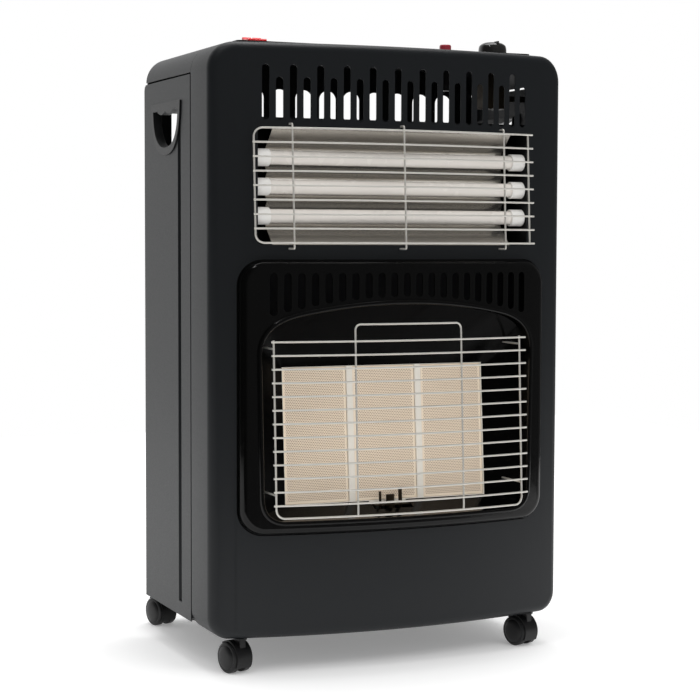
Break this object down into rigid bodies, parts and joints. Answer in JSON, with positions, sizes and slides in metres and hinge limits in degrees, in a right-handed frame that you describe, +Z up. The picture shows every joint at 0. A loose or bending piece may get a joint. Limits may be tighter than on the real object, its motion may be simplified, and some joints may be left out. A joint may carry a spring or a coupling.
{
  "type": "portable gas cabinet heater",
  "caption": "Free-standing gas cabinet heater on twin-wheel casters, with a guarded plaque burner below quartz lamps in a bowed steel front",
  "frame": {"origin": "on the floor, under the middle of the whole heater's bounding box", "axes": "+Z up, -Y towards the user in front of the burner, +X to that user's right"},
  "size_m": [0.4538, 0.3806, 0.7358],
  "materials": {
    "charcoal_paint": "satin charcoal powder paint",
    "black_enamel": "glossy black enamel",
    "soot_black": "matt black heat-proof paint",
    "grey_plate": "plain coated steel sheet",
    "bright_wire": "bright chromed wire",
    "zinc_steel": "zinc-plated or aluminised steel",
    "polished_reflector": "polished reflector sheet",
    "plaque_ceramic": "porous cream ceramic",
    "white_ceramic": "white glazed ceramic",
    "quartz": "satin quartz",
    "brass": "machined brass",
    "black_plastic": "moulded black plastic",
    "knob_plastic": "glossy black plastic",
    "red_plastic": "glossy red plastic",
    "dark_red_plastic": "dark red plastic"
  },
  "bodies": {
    "cabinet": {"front_shell": "charcoal_paint", "side_panel_right": "charcoal_paint", "side_panel_left": "charcoal_paint", "top_cover": "charcoal_paint", "rear_vent_panel": "charcoal_paint", "handle_right": "black_plastic", "handle_left": "black_plastic", "control_panel": "black_plastic", "piezo_igniter": "black_plastic", "heat_shield": "grey_plate", "base_tray": "soot_black", "lamp_chassis": "soot_black", "lamp_reflector": "polished_reflector", "quartz_tube_1": "quartz", "tube_cap_right_1": "white_ceramic", "tube_cap_left_1": "white_ceramic", "ceramic_plaque_1": "plaque_ceramic", "quartz_tube_2": "quartz", "tube_cap_right_2": "white_ceramic", "tube_cap_left_2": "white_ceramic", "ceramic_plaque_2": "plaque_ceramic", "quartz_tube_3": "quartz", "tube_cap_right_3": "white_ceramic", "tube_cap_left_3": "white_ceramic", "ceramic_plaque_3": "plaque_ceramic", "burner_bezel": "black_enamel", "burner_dish": "black_enamel", "burner_frame": "zinc_steel", "burner_body": "zinc_steel", "pilot_assembly": "brass", "gas_rail": "brass", "gas_valve": "brass", "upper_guard": "bright_wire", "lower_guard": "bright_wire", "caster_front_left_stem": "zinc_steel", "caster_front_right_stem": "zinc_steel", "caster_rear_left_stem": "zinc_steel", "caster_rear_right_stem": "zinc_steel"},
    "rocker_1": {"rocker_switch_1": "red_plastic"},
    "rocker_2": {"rocker_switch_2": "red_plastic"},
    "piezo": {"piezo_button": "dark_red_plastic"},
    "plug": {"valve_plug": "brass"},
    "knob": {"gas_knob": "knob_plastic", "knob_spindle": "zinc_steel"},
    "front_left_fork": {"caster_front_left_hood": "black_plastic", "caster_front_left_axle": "zinc_steel"},
    "front_left_wheel_l": {"caster_front_left_wheel_l": "black_plastic"},
    "front_left_wheel_r": {"caster_front_left_wheel_r": "black_plastic"},
    "front_right_fork": {"caster_front_right_hood": "black_plastic", "caster_front_right_axle": "zinc_steel"},
    "front_right_wheel_l": {"caster_front_right_wheel_l": "black_plastic"},
    "front_right_wheel_r": {"caster_front_right_wheel_r": "black_plastic"},
    "rear_left_fork": {"caster_rear_left_hood": "black_plastic", "caster_rear_left_axle": "zinc_steel"},
    "rear_left_wheel_l": {"caster_rear_left_wheel_l": "black_plastic"},
    "rear_left_wheel_r": {"caster_rear_left_wheel_r": "black_plastic"},
    "rear_right_fork": {"caster_rear_right_hood": "black_plastic", "caster_rear_right_axle": "zinc_steel"},
    "rear_right_wheel_l": {"caster_rear_right_wheel_l": "black_plastic"},
    "rear_right_wheel_r": {"caster_rear_right_wheel_r": "black_plastic"}
  },
  "joints": [
    {"name": "rocker_1_tip", "type": "hinge", "parent": "cabinet", "child": "rocker_1", "pos_m": [-0.1652, -0.09335, 0.716], "axis": [-1, 0, 0], "range_deg": [0, 18]},
    {"name": "rocker_2_tip", "type": "hinge", "parent": "cabinet", "child": "rocker_2", "pos_m": [-0.1528, -0.09335, 0.716], "axis": [-1, 0, 0], "range_deg": [0, 18]},
    {"name": "piezo_press", "type": "slide", "parent": "cabinet", "child": "piezo", "axis": [0, 0, -1], "range_m": [0, 0.006], "stiffness_N_per_m": 800},
    {"name": "valve_turn", "type": "hinge", "parent": "cabinet", "child": "plug", "pos_m": [0.1486, -0.09335, 0.693], "axis": [0, 0, 1], "range_deg": [0, 210]},
    {"name": "knob_press", "type": "slide", "parent": "plug", "child": "knob", "axis": [0, 0, -1], "range_m": [0, 0.004], "stiffness_N_per_m": 1000},
    {"name": "front_left_swivel", "type": "hinge", "parent": "cabinet", "child": "front_left_fork", "pos_m": [-0.1865, -0.12195, 0.034], "axis": [0, 0, 1], "continuous": true},
    {"name": "front_left_wheel_l_roll", "type": "hinge", "parent": "front_left_fork", "child": "front_left_wheel_l", "pos_m": [-0.18926, -0.11233, 0.018], "axis": [0.9613, 0.2756, 0], "continuous": true},
    {"name": "front_left_wheel_r_roll", "type": "hinge", "parent": "front_left_fork", "child": "front_left_wheel_r", "pos_m": [-0.18926, -0.11233, 0.018], "axis": [0.9613, 0.2756, 0], "continuous": true},
    {"name": "front_right_swivel", "type": "hinge", "parent": "cabinet", "child": "front_right_fork", "pos_m": [0.1865, -0.12195, 0.034], "axis": [0, 0, 1], "continuous": true},
    {"name": "front_right_wheel_l_roll", "type": "hinge", "parent": "front_right_fork", "child": "front_right_wheel_l", "pos_m": [0.18374, -0.11233, 0.018], "axis": [0.9613, 0.2756, 0], "continuous": true},
    {"name": "front_right_wheel_r_roll", "type": "hinge", "parent": "front_right_fork", "child": "front_right_wheel_r", "pos_m": [0.18374, -0.11233, 0.018], "axis": [0.9613, 0.2756, 0], "continuous": true},
    {"name": "rear_left_swivel", "type": "hinge", "parent": "cabinet", "child": "rear_left_fork", "pos_m": [-0.1865, 0.15865, 0.034], "axis": [0, 0, 1], "continuous": true},
    {"name": "rear_left_wheel_l_roll", "type": "hinge", "parent": "rear_left_fork", "child": "rear_left_wheel_l", "pos_m": [-0.18926, 0.16827, 0.018], "axis": [0.9613, 0.2756, 0], "continuous": true},
    {"name": "rear_left_wheel_r_roll", "type": "hinge", "parent": "rear_left_fork", "child": "rear_left_wheel_r", "pos_m": [-0.18926, 0.16827, 0.018], "axis": [0.9613, 0.2756, 0], "continuous": true},
    {"name": "rear_right_swivel", "type": "hinge", "parent": "cabinet", "child": "rear_right_fork", "pos_m": [0.1865, 0.15865, 0.034], "axis": [0, 0, 1], "continuous": true},
    {"name": "rear_right_wheel_l_roll", "type": "hinge", "parent": "rear_right_fork", "child": "rear_right_wheel_l", "pos_m": [0.18374, 0.16827, 0.018], "axis": [0.9613, 0.2756, 0], "continuous": true},
    {"name": "rear_right_wheel_r_roll", "type": "hinge", "parent": "rear_right_fork", "child": "rear_right_wheel_r", "pos_m": [0.18374, 0.16827, 0.018], "axis": [0.9613, 0.2756, 0], "continuous": true}
  ]
}
